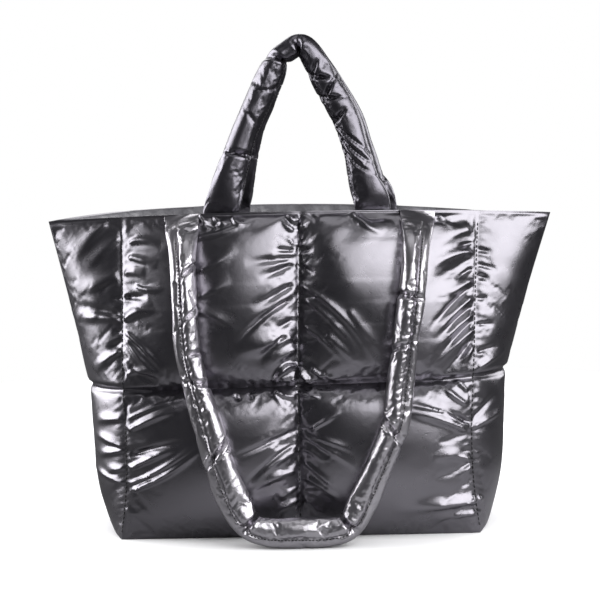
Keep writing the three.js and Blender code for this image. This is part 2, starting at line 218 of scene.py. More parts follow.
# Main folds of the panel: x and height of both ends, half width, rise and bow, in millimetres. A rise
# below nought is a dent. They come in order from the left wing to the right one, first above the waist
# and then below it, and last come the knot in the middle of the waist and the crumples under the rim.
FOLDS = [
    (-176, 296, -210, 258, 6.0, 1.6, 1),
    (-164, 282, -196, 252, 4.0, 1.2, 0),
    (-164, 246, -206, 228, 6.0, 1.3, 0),
    (-163, 226, -173, 224, 2.0, -1.6, 0),
    (-164, 211, -206, 217, 4.6, -1.8, 0),
    (-164, 204, -208, 204, 5.0, 1.6, 3),
    (-163, 196, -172, 194, 2.0, -1.6, 0),
    (-164, 186, -176, 178, 3.0, -1.6, 0),
    (-163, 178, -188, 154, 3.4, 2.0, 2),
    (-157, 276, -124, 271, 3.2, 1.5, 4),
    (-157, 263, -126, 253, 3.2, 1.6, 1),
    (-161, 248, -138, 246, 4.0, 1.8, 2),
    (-150, 237, -120, 233, 2.2, 1.4, -3),
    (-161, 227, -136, 226, 3.0, -2.2, 0),
    (-161, 205, -130, 216, 5.0, 2.6, 2),
    (-161, 195, -122, 156, 2.2, 2.0, 3),
    (-160, 189, -126, 155, 2.0, 1.8, -3),
    (-160, 155, -122, 150, 3.0, 1.8, 6),
    (-92, 278, -40, 297, 3.4, 1.8, -4),
    (-74, 287, -54, 294, 2.2, 1.6, 2),
    (-90, 297, -64, 301, 3.0, 1.6, 2),
    (-62, 304, -44, 299, 2.4, 1.6, 0),
    (-88, 248, -52, 270, 4.5, 1.3, -2),
    (-88, 226, -58, 242, 4.0, 1.1, -2),
    (-90, 214, -54, 196, 4.0, 1.1, 2),
    (-1, 286, -12, 297, 2.2, 1.8, -2),
    (-1, 293, -7, 302, 1.8, 1.4, 0),
    (-1, 273, -9, 282, 1.8, 1.4, 0),
    (-1, 269, -20, 269, 2.2, -1.8, 0),
    (-1, 262, -46, 256, 3.6, -1.4, 0),
    (-1, 256, -34, 242, 3.6, -2.2, 0),
    (-1, 238, -40, 216, 3.6, -2.2, 0),
    (-1, 225, -56, 184, 2.8, -2.4, 4),
    (-1, 207, -20, 196, 3.0, -2.0, 0),
    (-1, 190, -60, 176, 8.0, 3.2, 0),
    (-1, 180, -30, 164, 6.0, 2.6, 0),
    (-10, 192, -36, 166, 3.0, -2.0, 2),
    (1, 286, 12, 297, 2.2, 1.8, -2),
    (1, 293, 7, 302, 1.8, 1.4, 0),
    (1, 273, 8, 281, 1.8, 1.4, 0),
    (1, 269, 18, 269, 2.2, -1.8, 0),
    (1, 256, 18, 246, 2.4, -1.6, 0),
    (2, 238, 72, 162, 3.0, 1.5, 8),
    (4, 226, 60, 164, 3.0, 1.1, 5),
    (6, 200, 42, 166, 2.4, 1.3, 2),
    (26, 192, 64, 156, 4.0, 1.2, 0),
    (46, 214, 78, 170, 4.0, 1.0, 0),
    (14, 290, 100, 200, 26.0, 1.6, -9),
    (54, 305, 80, 280, 2.6, 2.0, -5),
    (54, 299, 98, 296, 5.0, -2.6, 0),
    (134, 298, 148, 286, 3.0, 1.8, -2),
    (128, 293, 164, 288, 4.0, -2.0, 0),
    (166, 284, 120, 264, 8.0, 1.8, 2),
    (166, 271, 150, 266, 2.4, -2.0, 0),
    (166, 262, 122, 248, 4.5, 2.2, 3),
    (166, 256, 116, 226, 7.0, -1.8, 2),
    (166, 247, 146, 237, 3.0, -2.0, 0),
    (166, 236, 132, 216, 3.6, 1.8, 2),
    (166, 231, 120, 192, 2.6, -2.0, 2),
    (166, 221, 124, 186, 2.8, 1.8, 2),
    (166, 213, 130, 184, 2.4, -1.8, 2),
    (166, 206, 124, 172, 2.6, 1.8, 2),
    (166, 200, 128, 164, 2.2, -1.6, 2),
    (166, 192, 128, 162, 2.8, 1.8, 1),
    (166, 184, 144, 158, 2.6, -1.8, 0),
    (165, 178, 154, 160, 2.0, 1.4, 0),
    (168, 266, 184, 260, 2.2, -1.6, 0),
    (168, 252, 188, 244, 2.2, -1.4, 0),
    (168, 243, 180, 235, 2.6, -1.8, 0),
    (168, 220, 179, 218, 2.4, -1.6, 0),
    (168, 196, 183, 194, 2.2, -1.4, 0),
    (168, 170, 187, 174, 2.4, -1.4, 0),
    (168, 154, 194, 168, 3.2, 1.8, 1),
    (-162, 114, -188, 108, 3.4, 1.8, 1),
    (-161, 88, -188, 96, 3.0, 1.8, 0),
    (-161, 86, -186, 76, 3.0, 1.6, 0),
    (-161, 69, -178, 63, 3.0, 1.6, 0),
    (-162, 53, -192, 64, 2.4, 1.6, 0),
    (-159, 103, -104, 126, 3.4, 2.6, 1),
    (-160, 114, -104, 134, 1.8, 1.4, 1),
    (-158, 81, -104, 96, 3.0, -2.0, 1),
    (-159, 68, -112, 90, 3.0, 2.4, 0),
    (-159, 54, -92, 94, 2.0, 2.0, -3),
    (-159, 47, -88, 90, 2.6, 2.6, -4),
    (-1, 104, -64, 80, 2.6, -1.5, 0),
    (-1, 92, -52, 55, 2.2, -1.4, 3),
    (-1, 84, -40, 62, 3.2, 1.4, 2),
    (-1, 66, -48, 52, 4.0, 1.6, 2),
    (-1, 50, -20, 40, 2.6, 1.4, 1),
    (-1, 38, -24, 28, 2.6, 1.5, 1),
    (12, 104, 40, 120, 2.0, 1.6, 0),
    (2, 99, 52, 84, 2.2, 1.1, 2),
    (2, 98, 54, 68, 2.2, 1.1, 2),
    (3, 86, 24, 76, 2.8, 1.6, 1),
    (3, 74, 34, 50, 2.2, 1.2, 1),
    (4, 60, 38, 38, 2.2, 1.2, 2),
    (3, 41, 18, 26, 2.2, 1.2, 0),
    (157, 97, 96, 120, 4.6, 3.0, 2),
    (134, 116, 96, 126, 1.8, 1.5, 0),
    (158, 102, 128, 124, 2.4, 2.0, -3),
    (158, 106, 132, 119, 2.4, -2.0, 0),
    (156, 122, 130, 144, 2.4, 2.0, -2),
    (158, 134, 144, 148, 2.4, 1.8, 0),
    (160, 70, 122, 76, 4.6, 1.8, 3),
    (162, 66, 148, 55, 3.0, 1.6, 0),
    (158, 98, 190, 111, 2.8, 1.8, 1),
    (160, 106, 184, 130, 2.4, -1.6, 0),
    (172, 31, 84, 29, 5.0, 3.4, 1),
    (170, 19, 122, 17, 3.0, 2.0, 1),
    (-23, 148, 0, 163, 2.0, 3.6, 5),
    (-9, 163, 10, 150, 1.8, 3.4, 3),
    (2, 157, 15, 144, 1.8, 3.2, 0),
    (12, 161, 30, 146, 1.8, 2.0, 0),
    (-17, 150, 3, 149, 1.8, 3.0, 1),
    (22, 156, 38, 147, 2.0, 1.4, 0),
    (-23, 140, -2, 134, 1.8, 3.0, -2),
    (0, 138, 20, 133, 1.8, 2.8, -1),
    (-24, 138, -15, 127, 2.2, 1.6, 0),
    (-46, 139, -42, 131, 2.4, -1.4, 0),
    (-58, 139, -54, 131, 2.4, -1.4, 0),
    (-90, 300, -80, 287, 2.4, 2.4, 2),
    (-76, 301, -62, 293, 2.2, 2.2, -2),
    (-58, 302, -46, 290, 2.4, 2.2, -3),
    (-84, 292, -66, 288, 2.2, -1.8, 2),
    (-10, 302, -2, 290, 2.2, 2.2, 2),
    (0, 301, 10, 291, 2.2, 2.2, -3),
    (12, 302, 22, 294, 2.2, -1.8, 1),
    (46, 303, 58, 289, 2.6, 2.4, 3),
    (58, 302, 70, 292, 2.4, 2.0, -2),
]


def grid_faces(rows, columns, ring=False):
    """Four-cornered faces of a grid whose points are numbered row by row, closed round if its rows are
    rings."""
    ids = np.arange(rows * columns).reshape(rows, columns)
    if ring:
        ids = np.hstack([ids, ids[:, :1]])
    return np.stack([ids[:-1, :-1], ids[:-1, 1:], ids[1:, 1:], ids[1:, :-1]], -1).reshape(-1, 4)


def finer(grid, ring=False):
    """The grid with one more point between each two along its rows and columns: nine sixteenths of both
    neighbours less one sixteenth of the next two, which leaves the old points and curves smoothly through
    them."""

    def between(line, closed):
        before = line[-1:] if closed else 2 * line[:1] - line[1:2]
        after = line[:2] if closed else 2 * line[-1:] - line[-2:-1]
        wide = np.concatenate([before, line, after])
        added = (9 * (wide[1:-2] + wide[2:-1]) - wide[:-3] - wide[3:]) / 16
        both = np.empty((len(line) + len(added), *line.shape[1:]))
        both[::2], both[1::2] = line, added
        return both

    return between(between(grid, False).swapaxes(0, 1), ring).swapaxes(0, 1)


def facing(grid, ring=False):
    """Unit normals of a grid of points, from its slopes along its rows and columns."""
    along = np.roll(grid, -1, 1) - np.roll(grid, 1, 1) if ring else np.gradient(grid, axis=1)
    normal = np.cross(along, np.gradient(grid, axis=0))
    return normal / np.maximum(np.linalg.norm(normal, axis=-1, keepdims=True), 1e-9)


CLOTH_STEPS = 5
CLOTH_STIFFNESS = 0.05
TIGHT_LEVELS = 8
TIGHT_EASE = 0.25


def blown_up(points, faces, pinned, tight, ease, pressure, frames, cap):
    """Cloth that is sewn down at its pinned points, cut larger than its place by the share ease, down to
    a quarter of that where it is tight, and blown up by the wadding's pressure for some frames. No point
    moves beyond its cap."""
    mesh = bpy.data.meshes.new("shell")
    mesh.from_pydata((points * MM).tolist(), [], faces.tolist())
    shell = bpy.data.objects.new("shell", mesh)
    scene.collection.objects.link(shell)
    shell.vertex_groups.new(name="sewn").add(np.flatnonzero(pinned).tolist(), 1.0, "REPLACE")
    tightness = shell.vertex_groups.new(name="tight")
    for level in range(1, TIGHT_LEVELS + 1):
        at_level = np.flatnonzero(np.round(tight * TIGHT_LEVELS) == level)
        tightness.add(at_level.tolist(), level / TIGHT_LEVELS, "REPLACE")
    cloth = shell.modifiers.new("cloth", "CLOTH")
    cloth.collision_settings.use_collision = False
    settings = cloth.settings
    settings.quality = CLOTH_STEPS
    settings.vertex_group_mass = "sewn"
    settings.effector_weights.gravity = 0
    settings.bending_stiffness = CLOTH_STIFFNESS
    settings.vertex_group_shrink = "tight"
    settings.shrink_min = -ease
    settings.shrink_max = -ease * TIGHT_EASE
    settings.use_pressure = True
    settings.uniform_pressure_force = pressure
    cloth.point_cache.frame_end = frames
    for number in range(1, frames + 1):
        scene.frame_set(number)
    moved = np.empty(len(points) * 3)
    shell.evaluated_get(bpy.context.evaluated_depsgraph_get()).data.vertices.foreach_get("co", moved)
    bpy.data.objects.remove(shell)
    scene.frame_set(1)
    move = moved.reshape(-1, 3) / MM - points
    length = np.linalg.norm(move, axis=1, keepdims=True)
    return points + move * np.minimum(1, cap / np.maximum(length, 1e-9))


# How the bag has settled: how far it leans to the right at each height, how much the waist has sunk or
# risen at the corner lines, how much the back of the mouth tips there, and from which depth on.
LEAN = {"height": [0, 143, 296, 455], "aside": [0, 0, 4.5, 8.5]}
SAG = 3.4
TIP = 2.6
TIP_FROM = 20
SAG_WIDTH = 164
SAG_LIMIT = 1.2


def settled(points):
    """The bag as it has come to stand: above the waist it leans a little to the right, more the higher it
    is, and the waist line has sunk on the left and risen on the right, as half a sine wave up the panel.
    The mouth's back stands higher on the left than on the right."""
    x, y, z = points.T
    lean = np.interp(z, LEAN["height"], LEAN["aside"])
    aside = np.clip(x / SAG_WIDTH, -SAG_LIMIT, SAG_LIMIT)
    high = np.clip(z / RIM_AT_SIDES, 0, 1)
    sag = np.sin(np.pi * high) * SAG * aside
    tip = TIP * aside * high**3 * np.clip(y / TIP_FROM, 0, 1)
    return np.stack([x + lean, y, z + sag - tip], -1)


SHARP_EDGE = 70


def new_piece(name, points, faces, material, replaced=None, lining=None, lined=()):
    """The lined faces, given as a range, take the lining."""
    mesh = bpy.data.meshes.new(name)
    mesh.from_pydata((settled(points) * MM).tolist(), [], faces)
    mesh.shade_smooth()
    mesh.set_sharp_from_angle(angle=np.radians(SHARP_EDGE))
    mesh.materials.append(material)
    if lining:
        mesh.materials.append(lining)
        which = np.zeros(len(mesh.polygons), np.int32)
        which[lined] = 1
        mesh.polygons.foreach_set("material_index", which)
    piece = bpy.data.objects.new(name, mesh)
    scene.collection.objects.link(piece)
    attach(piece, "root")
    if replaced:
        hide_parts(replaced)


def linear(hex_colour):
    """An sRGB hex colour as linear red, green, blue and alpha."""
    srgb = np.array([int(hex_colour[i : i + 2], 16) for i in (1, 3, 5)]) / 255
    return (*np.where(srgb <= 0.04045, srgb / 12.92, ((srgb + 0.055) / 1.055) ** 2.4), 1.0)


def add_node(tree, kind, settings=(), links=()):
    """Adds a node, sets its properties and sockets by name, and links its sockets to other nodes'
    outputs."""
    made = tree.nodes.new(kind)
    for name, value in dict(settings).items():
        if isinstance(name, int) or name in made.inputs:
            made.inputs[name].default_value = value
        else:
            setattr(made, name, value)
    for name, output in dict(links).items():
        tree.links.new(output, made.inputs[name])
    return made


# Sizes in the nylon. Threads 0.3 mm apart are too fine to show, so the grain that they give is drawn 1.4
# mm wide.
CREASE_SIZE = 14
CREASE_DEPTH = 1.2
GRAIN_SIZE = 1.4
GRAIN_DEPTH = 0.25
GRAIN_STRENGTH = 0.25
PATCH_SIZE = 60


def pewter_nylon(name, crinkle, tones, roughness):
    """Plain-woven nylon with a pewter metallic coating, calendered smooth: a satin mirror that shows dark
    and light in broad patches, with a fine grain and small creases that break up the edges of what it
    reflects."""
    material = bpy.data.materials.new(name)
    material.use_nodes = True
    tree = material.node_tree
    shader = tree.nodes["Principled BSDF"]
    shader.inputs["Metallic"].default_value = 1.0
    body = add_node(tree, "ShaderNodeTexCoord").outputs["Object"]
    creases = add_node(
        tree,
        "ShaderNodeTexNoise",
        {"Scale": 1 / (CREASE_SIZE * MM), "Detail": 3.0, "Distortion": 1.2},
        {"Vector": body},
    ).outputs["Fac"]
    dents = add_node(
        tree, "ShaderNodeBump", {"Strength": crinkle, "Distance": CREASE_DEPTH * MM}, {"Height": creases}
    )
    threads = add_node(
        tree, "ShaderNodeTexNoise", {"Scale": 1 / (GRAIN_SIZE * MM), "Detail": 1.0}, {"Vector": body}
    )
    grain = add_node(
        tree,
        "ShaderNodeBump",
        {"Strength": GRAIN_STRENGTH, "Distance": GRAIN_DEPTH * MM},
        {"Height": threads.outputs["Fac"], "Normal": dents.outputs["Normal"]},
    )
    tree.links.new(grain.outputs["Normal"], shader.inputs["Normal"])
    patches = add_node(
        tree, "ShaderNodeTexNoise", {"Scale": 1 / (PATCH_SIZE * MM), "Detail": 2.0}, {"Vector": body}
    )
    colour = add_node(tree, "ShaderNodeValToRGB", (), {"Fac": patches.outputs["Fac"]})
    colour.color_ramp.elements[0].color = linear(tones[0])
    colour.color_ramp.elements[1].color = linear(tones[1])
    tree.links.new(colour.outputs["Color"], shader.inputs["Base Color"])
    rough = add_node(
        tree, "ShaderNodeMapRange", {"To Min": roughness[0], "To Max": roughness[1]}, {"Value": creases}
    )
    tree.links.new(rough.outputs["Result"], shader.inputs["Roughness"])
    return material


LINING_CREASE_SIZE = 25
LINING_CREASE_DEPTH = 8


def woven_lining():
    """Grey polyester lining, plain-woven and uncoated: a dull sheen and soft creases. Its colour follows the
    creases' height, darker in their hollows and lighter on their crests: painted shade and light."""
    material = bpy.data.materials.new("grey woven lining")
    material.use_nodes = True
    tree = material.node_tree
    shader = tree.nodes["Principled BSDF"]
    shader.inputs["Roughness"].default_value = 0.35
    body = add_node(tree, "ShaderNodeTexCoord").outputs["Object"]
    creases = add_node(
        tree, "ShaderNodeTexNoise", {"Scale": 1 / (LINING_CREASE_SIZE * MM), "Detail": 4.0}, {"Vector": body}
    ).outputs["Fac"]
    dents = add_node(
        tree, "ShaderNodeBump", {"Strength": 0.8, "Distance": LINING_CREASE_DEPTH * MM}, {"Height": creases}
    )
    tree.links.new(dents.outputs["Normal"], shader.inputs["Normal"])
    # Painted shade and light: the colour is taken from the crease height, darker in the hollows and lighter
    # on the crests.
    colour = add_node(tree, "ShaderNodeValToRGB", (), {"Fac": creases})
    colour.color_ramp.elements[0].color = linear("#5a595e")
    colour.color_ramp.elements[1].color = linear("#a3a2a7")
    tree.links.new(colour.outputs["Color"], shader.inputs["Base Color"])
    return material


def evenly(ends, spaces):
    """Even values through the ends, with the given number of spaces between each two."""
    parts = [np.linspace(low, high, n, endpoint=False) for low, high, n in zip(ends, ends[1:], spaces)]
    return np.append(np.concatenate(parts), ends[-1])


across_line = evenly(
    [-1, -CORNER, 0, CORNER, 1], [SPACES["wing"], SPACES["cell"], SPACES["cell"], SPACES["wing"]]
)
up_line = evenly([0, WAIST, 1 - HEM, 1], [SPACES["lower"], SPACES["upper"], SPACES["hem"]])
across, up = np.meshgrid(across_line, up_line)
flat = stitched(across, up)
wing = np.abs(across) > CORNER
in_cell = np.where(wing, (np.abs(across) - CORNER) / (1 - CORNER), (np.abs(across) / CORNER) ** PEAK)
in_row = np.where(up < WAIST, up / WAIST, (np.minimum(up, 1 - HEM) - WAIST) / (1 - HEM - WAIST))
full = pillow(in_cell, in_row)

# The upright threads: place across the panel, and how steeply the gathers fall away on the left and on
# the right. Then the stretches with gathers, and for each kind of gathers the pitch, reach and height.
# The broad ones are there before the cloth is blown up, and the fine ones are laid on it afterwards.
THREADS = [(-CORNER, 0.7, 0.7), (0, 0.7, 0.7), (CORNER, 0.8, 0.4)]
UPRIGHT_SPAN = (8, 290)
WAIST_SPAN = (-190, 190)
RIM_SPAN = (-84, 84)
MOUTH_SPAN = (-215, 215)
BROAD_GATHERS = (22, 10, 0.5)
BROAD_WAIST_GATHERS = (16, 6, 0.12)
FINE_GATHERS = (7, 3, 0.5)
FINE_WAIST_GATHERS = (10, 3, 0.2)
RIM_CRUMPLES = (26, 9, 1.1)
LINING_CRUMPLES = (12, 5, 3.4)
WAIST_LEAN = 0.3
RIM_LEAN = 0.9
LINING_LEAN = 0.6
SLACK_GAIN = 2.5
# Depth and half width of the grooves that the threads draw.
WAIST_GROOVE = (3.6, 3)
UPRIGHT_GROOVE = (0.6, 4)

rng = np.random.default_rng(7)
half_width = through(SECTION["up"], SECTION["tip"], up)
height = flat[..., 2]
rise = height - WAIST * RIM_AT_MIDDLE
slack = np.zeros_like(height)
drawn_in = groove(rise, *WAIST_GROOVE)
for line, lean, far_lean in THREADS:
    off = (across - line) * half_width
    slack += gathers(height, off, rng, UPRIGHT_SPAN, *BROAD_GATHERS, lean, far_lean)
    drawn_in += groove(off, *UPRIGHT_GROOVE)
slack += gathers(flat[..., 0], rise, rng, WAIST_SPAN, *BROAD_WAIST_GATHERS, WAIST_LEAN, WAIST_LEAN)
puff = full * np.where(wing, PUFF_WING, PUFF_PANEL)
lift = puff + np.clip(full * SLACK_GAIN, 0, 1) * slack - drawn_in
start = flat + lift[..., None] * outward(across, up)
start[..., 2] = np.maximum(start[..., 2], FLOOR_CLEARANCE)

sewn = np.zeros(across.shape, bool)
sewn[0] = sewn[-1] = True
sewn[:, 0] = sewn[:, -1] = True
sewn[up >= 1 - HEM - 1e-9] = True
sewn[np.isclose(up, WAIST)] = True
sewn[np.isclose(np.abs(across), CORNER) | np.isclose(across, 0)] = True

# The cloth is tight on the wings, close to the waist and, more and more, from half the height up to the
# mouth. A wing may swell less towards its side seam.
CELL_CAP = 18
WING_CAP = 12
WING_CAP_LOSS = 0.85
TIGHT_FROM = 0.5
TIGHT_AT_WAIST = 12
PANEL_EASE = 0.012
PANEL_PRESSURE = 3
PANEL_FRAMES = 24
rows, columns = across.shape
outside = start
cap = np.where(wing, WING_CAP * (1 - WING_CAP_LOSS * in_cell), CELL_CAP).reshape(-1, 1)
tight = np.maximum(wing, np.clip((up - TIGHT_FROM) / (1 - TIGHT_FROM), 0, 1))
tight = np.maximum(tight, groove(rise, 1, TIGHT_AT_WAIST))
outside = blown_up(
    start.reshape(-1, 3),
    grid_faces(rows, columns),
    sewn.ravel(),
    tight.ravel(),
    PANEL_EASE,
    PANEL_PRESSURE,
    PANEL_FRAMES,
    cap,
).reshape(start.shape)

# The folds and the small gathers at each thread are too fine for the blown-up grid, so they are laid on a
# finer one, and fade out close to each thread.
THREAD_FADE = 3
outside = finer(outside)
fine_across, fine_flat = finer(across[..., None])[..., 0], finer(flat)
fine_half = finer(half_width[..., None])[..., 0]
fine_height = fine_flat[..., 2]
fine_rise = fine_height - WAIST * RIM_AT_MIDDLE
standing = settled(fine_flat.reshape(-1, 3)).reshape(fine_flat.shape)
detail = folds(standing[..., 0], standing[..., 2], FOLDS)
to_thread = np.minimum(np.abs(fine_rise), (1 - np.abs(fine_across)) * fine_half)
for line, lean, far_lean in THREADS:
    off = (fine_across - line) * fine_half
    detail += gathers(fine_height, off, rng, UPRIGHT_SPAN, *FINE_GATHERS, lean, far_lean)
    to_thread = np.minimum(to_thread, np.abs(off))
detail += gathers(fine_flat[..., 0], fine_rise, rng, WAIST_SPAN, *FINE_WAIST_GATHERS, WAIST_LEAN, WAIST_LEAN)
under_rim = (1 - HEM) * rim_height(fine_across) - fine_height
detail += ridges(fine_flat[..., 0], under_rim, rng, RIM_SPAN, *RIM_CRUMPLES, RIM_LEAN)
to_thread = np.minimum(to_thread, np.minimum(fine_height, under_rim))
outside = outside + (detail * np.clip(to_thread / THREAD_FADE, 0, 1))[..., None] * facing(outside)
outside[..., 2] = np.maximum(outside[..., 2], FLOOR_CLEARANCE / 2)
under_hem = (1 - HEM) * rim_height(across) - height
crumples = ridges(flat[..., 0], under_hem, rng, MOUTH_SPAN, *LINING_CRUMPLES, LINING_LEAN)
inside = stitched(across, up, WALL) - (drawn_in + crumples)[..., None] * outward(across, up)


def edge_loop(ids):
    """The four edges of a grid of point numbers, one after another round it."""
    return [ids[0], ids[:, -1], ids[-1, ::-1], ids[::-1, 0]]


# The outer grid has two spaces for each of the inner one, so three triangles close each step along the
# edge.
outer_ids = np.arange(fine_across.size).reshape(fine_across.shape)
inner_ids = outer_ids.size + np.arange(across.size).reshape(across.shape)
outer_faces = grid_faces(*outer_ids.shape)
inner_faces = outer_ids.size + grid_faces(rows, columns)[:, ::-1]
binding = []
for out, into in zip(edge_loop(outer_ids), edge_loop(inner_ids)):
    first, middle, last = out[:-1:2], out[1::2], out[2::2]
    binding.append(np.stack([middle, first, into[:-1]], -1))
    binding.append(np.stack([last, middle, into[1:]], -1))
    binding.append(np.stack([into[:-1], into[1:], middle], -1))
panel_faces = outer_faces.tolist() + inner_faces.tolist() + np.concatenate(binding).tolist()
panel_points = np.concatenate([outside.reshape(-1, 3), inside.reshape(-1, 3)])
HALF_TURN = np.array([-1, -1, 1])
panel_nylon = pewter_nylon("quilted pewter nylon", 0.1, ("#8b898f", "#96939a"), (0.24, 0.34))
lining = woven_lining()
lined = slice(len(outer_faces), len(outer_faces) + len(inner_faces))
for name, turn in (("front_panel", 1), ("back_panel", HALF_TURN)):
    new_piece(
        f"{name}_quilting",
        panel_points * turn,
        panel_faces,
        panel_nylon,
        replaced=name,
        lining=lining,
        lined=lined,
    )

# The stitches of the quilting: dark polyester thread in short even stitches, drawn down into the nylon.
# They run along the three upright threads, from just above the base to just below the rim.
STITCH_RADIUS = 0.55
STITCH_LIFT = 0.3
STITCH_SIDES = 6
STITCH_RINGS = np.array([-0.97, -0.75, 0.0, 0.75, 0.97])
QUILT_STITCH = (3.4, 1.0)
QUILT_ROWS = slice(4, -8)


def run_along(line):
    """Length of a line of points up to each of them."""
    return np.concatenate([[0], np.cumsum(np.linalg.norm(np.diff(line, axis=0), axis=1))])


def stitches(lines, length, gap):
    """Thread along each line of points, which comes with its normals: spindles with a round section, one
    after another with a gap between, as thick as the thread in the middle and thin at both ends."""
    turn = np.linspace(0, 2 * np.pi, STITCH_SIDES, endpoint=False)[:, None]
    thick = STITCH_RADIUS * np.sqrt(1 - STITCH_RINGS**2)[:, None, None]
    points = []
    for line, normals in lines:
        run = run_along(line)
        middle = np.arange(length, run[-1] - length, length + gap)
        place = middle[:, None] + STITCH_RINGS * length / 2
        centre = np.stack([np.interp(place, run, line[:, k]) for k in range(3)], -1)
        out = np.stack([np.interp(place, run, normals[:, k]) for k in range(3)], -1)
        side = np.cross(centre[:, -1:] - centre[:, :1], out)
        side /= np.linalg.norm(side, axis=-1, keepdims=True)
        ring = np.cos(turn) * out[:, :, None] + np.sin(turn) * side[:, :, None]
        points.append((centre + STITCH_LIFT * out)[:, :, None] + thick * ring)
    points = np.concatenate(points)
    count, rings, sides = points.shape[:3]
    first = np.arange(count)[:, None, None] * rings * sides
    walls = (first + grid_faces(rings, sides, ring=True)).reshape(-1, 4).tolist()
    ends = np.stack([np.arange(sides)[::-1], (rings - 1) * sides + np.arange(sides)])
    return points.reshape(-1, 3), walls + (first + ends).reshape(-1, sides).tolist()


def sewing_thread():
    """Dark polyester thread, a little shiny: it draws a fine broken line along each seam."""
    material = bpy.data.materials.new("dark polyester thread")
    material.use_nodes = True
    shader = material.node_tree.nodes["Principled BSDF"]
    shader.inputs["Base Color"].default_value = linear("#232225")
    shader.inputs["Roughness"].default_value = 0.45
    return material


thread = sewing_thread()
panel_normals = facing(outside)
upright_columns = 2 * np.cumsum([SPACES["wing"], SPACES["cell"], SPACES["cell"]])
seams = [(outside[QUILT_ROWS, column], panel_normals[QUILT_ROWS, column]) for column in upright_columns]
stitch_points, stitch_faces = stitches(seams, *QUILT_STITCH)
for name, turn in (("front", 1), ("back", HALF_TURN)):
    new_piece(f"{name}_quilting_stitches", stitch_points * turn, stitch_faces, thread)

# The base: a flat board in the same nylon that closes the bag below, sewn in between the two panels. It
# stops just short of them.
BASE_GRID = (48, 12)
BASE_GAP = 0.4
share, back = np.meshgrid(np.linspace(-1, 1, BASE_GRID[0] + 1), np.linspace(0, 1, BASE_GRID[1] + 1))


def base_face(wall):
    """One face of the board: each place along the panel's lowest line, carried straight back to the other
    panel."""
    edge = stitched(share, 0 * share, wall)
    shrink_x = 1 - BASE_GAP / SECTION["corner"][0]
    shrink_y = 1 - BASE_GAP / SECTION["depth"][0]
    return np.stack([edge[..., 0] * shrink_x, edge[..., 1] * shrink_y * (1 - 2 * back), edge[..., 2]], -1)


board_ids = np.arange(share.size).reshape(share.shape)
board_rim = np.concatenate([edge[:-1] for edge in edge_loop(board_ids)])
next_on_rim = np.roll(board_rim, -1)
board_sides = np.stack([board_rim, next_on_rim, next_on_rim + share.size, board_rim + share.size], -1)
board_grid = grid_faces(*share.shape)
board_faces = np.concatenate([board_grid[:, ::-1], share.size + board_grid, board_sides]).tolist()
board_points = np.concatenate([base_face(0).reshape(-1, 3), base_face(WALL).reshape(-1, 3)])
new_piece("base_board", board_points, board_faces, panel_nylon, replaced="base_panel")

# The handles: stuffed nylon tubes in an upside-down V, pinched at the top where they were folded, with
# their ends pressed flat and sewn to the inside of the mouth. Their seam runs along the inner side of the
# legs, and the back one mirrors the front one. Rows of a tube: x, y and z of its middle, width,
# thickness, and tilt and yaw of its face in degrees.
HANDLE = [
    (-75, -37, 288, 38, 6, 0, -8),
    (-73.5, -37, 305, 38, 7, 0, -8),
    (-70, -36, 318, 38, 18, 0, -5),
    (-64.5, -32, 340, 35, 25, 0, 0),
    (-52.6, -26, 377, 29, 28, 0, 0),
    (-39.7, -21.7, 406, 29, 28, 0, 0),
    (-27.5, -18, 434, 27, 28, 0, 0),
    (-21.5, -16.6, 446.5, 22, 28, 0, 0),
    (-12.5, -16, 453, 22, 27, 0, 0),
    (-2, -15.8, 458.5, 23, 28, 0, 0),
    (8, -16.2, 452.5, 24, 28, 0, 0),
    (26, -19.8, 421, 29, 28, 0, 0),
    (43, -24, 390, 30, 28, 0, 0),
    (53, -28, 361, 29, 27, 0, 0),
    (61, -33.5, 331, 35, 23, 0, 0),
    (66.5, -36.4, 317, 38, 17, 0, 5),
    (68.5, -37.4, 305, 38, 7, 0, 8),
    (69, -37.4, 288, 38, 6, 0, 8),
]
# Creases across the front handle: x and height, half width, depth, slant, and the two angles that it runs
# between.
HANDLE_CREASES = [
    (-58, 358, 2.2, 4.5, 0.1, -0.5, 1.4),
    (-34, 416, 2.0, 2.0, 0.4, 0.5, 1.3),
    (-46, 390, 2.4, 1.4, -0.5, -0.2, 0.6),
    (-21.5, 446.5, 2.4, 5.0, 0.2, -1.5, 1.8),
    (-2, 458.5, 2.2, 5.5, 0.0, -0.9, 2.6),
    (11, 440, 2.4, 3.5, 0.5, -0.1, 1.2),
    (21, 428, 2.2, 5.0, -0.5, -0.3, 1.5),
    (26, 417, 2.2, 4.5, 0.5, -0.5, 1.0),
    (31, 406, 2.2, 4.5, -0.4, -0.2, 1.5),
    (37, 394, 2.4, 4.5, 0.3, -0.1, 1.4),
    (46, 368, 2.2, 3.0, -1.2, -0.2, 1.4),
    (50, 355, 2.2, 3.2, -1.2, -0.4, 1.4),
    (54, 343, 2.2, 2.6, -1.2, -0.2, 1.3),
]
ROPE_STEP = 2.2
ROPE_SIDES = 36
ROPE_SAMPLES = 40
ROPE_SHRINK = 0.9
ROPE_PRESSURE = 5
ROPE_FRAMES = 22
ROPE_CAP = 8
SEAM_HALF_ANGLE = 0.3
SEAM_RUN_OUT = 40
CREASE_RUN_OUT = 6
PINNED_CREASE = 2.4
SEWN_RINGS = 8
# Gathers beside a tube's seam: pitch and reach on the inner and on the outer side, where they are half as
# high, their lean, and the length at each end that has none.
INNER_LADDER = (4.4, 3.0)
OUTER_LADDER = (4.8, 2.0)
OUTER_SHARE = 0.5
LADDER_LEAN = 0.5
LADDER_END = 64
ROPE_STITCH = (2.4, 0.8)
STITCHED_RINGS = slice(36, -36)
BESIDE_SEAM = 2
APEX = 461
MIRROR = np.array([1, -1, 1])


